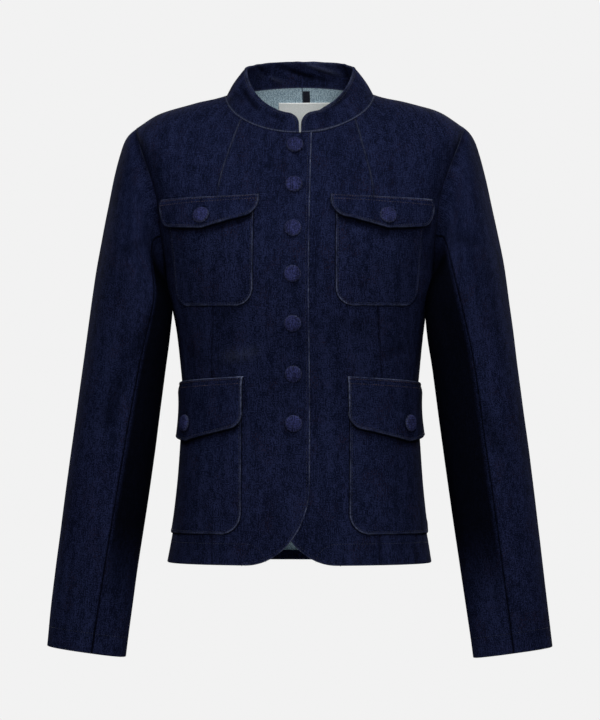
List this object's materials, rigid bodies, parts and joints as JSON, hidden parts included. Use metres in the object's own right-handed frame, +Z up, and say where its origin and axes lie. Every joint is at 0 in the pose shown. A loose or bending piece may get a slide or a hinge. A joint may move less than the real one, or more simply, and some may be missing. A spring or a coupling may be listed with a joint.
{
  "type": "denim blazer",
  "caption": "Short fitted denim blazer with a stand collar, buttoned front, flapped patch pockets on chest and hips and two-piece sleeves, in the hollow form it has when worn",
  "frame": {"origin": "midway between the two points where the shoulder seams meet the collar, where the shoulders hold the garment", "axes": "+X is the wearer's left, -Y is the front with the buttons, +Z is up"},
  "size_m": [0.605, 0.2427, 0.7157],
  "materials": {
    "denim": "dark indigo washed twill, matt",
    "button_denim": "buttons covered in the same denim",
    "label_cotton": "woven cream label, bare",
    "seam_tape": "dark seam binding"
  },
  "bodies": {
    "root": {"left_centre_front": "denim", "right_centre_front": "denim", "left_side_front": "denim", "right_side_front": "denim", "left_back": "denim", "right_back": "denim", "collar": "denim", "left_top_sleeve": "denim", "left_under_sleeve": "denim", "right_top_sleeve": "denim", "right_under_sleeve": "denim", "left_upper_pocket": "denim", "right_upper_pocket": "denim", "left_lower_pocket": "denim", "right_lower_pocket": "denim", "left_upper_pocket_flap": "denim", "right_upper_pocket_flap": "denim", "left_lower_pocket_flap": "denim", "right_lower_pocket_flap": "denim", "front_button_1": "button_denim", "front_button_2": "button_denim", "front_button_3": "button_denim", "front_button_4": "button_denim", "front_button_5": "button_denim", "front_button_6": "button_denim", "front_button_7": "button_denim", "left_upper_flap_button": "button_denim", "right_upper_flap_button": "button_denim", "left_lower_flap_button": "button_denim", "right_lower_flap_button": "button_denim", "back_seam_tape": "seam_tape", "neck_label": "label_cotton"}
  },
  "joints": []
}
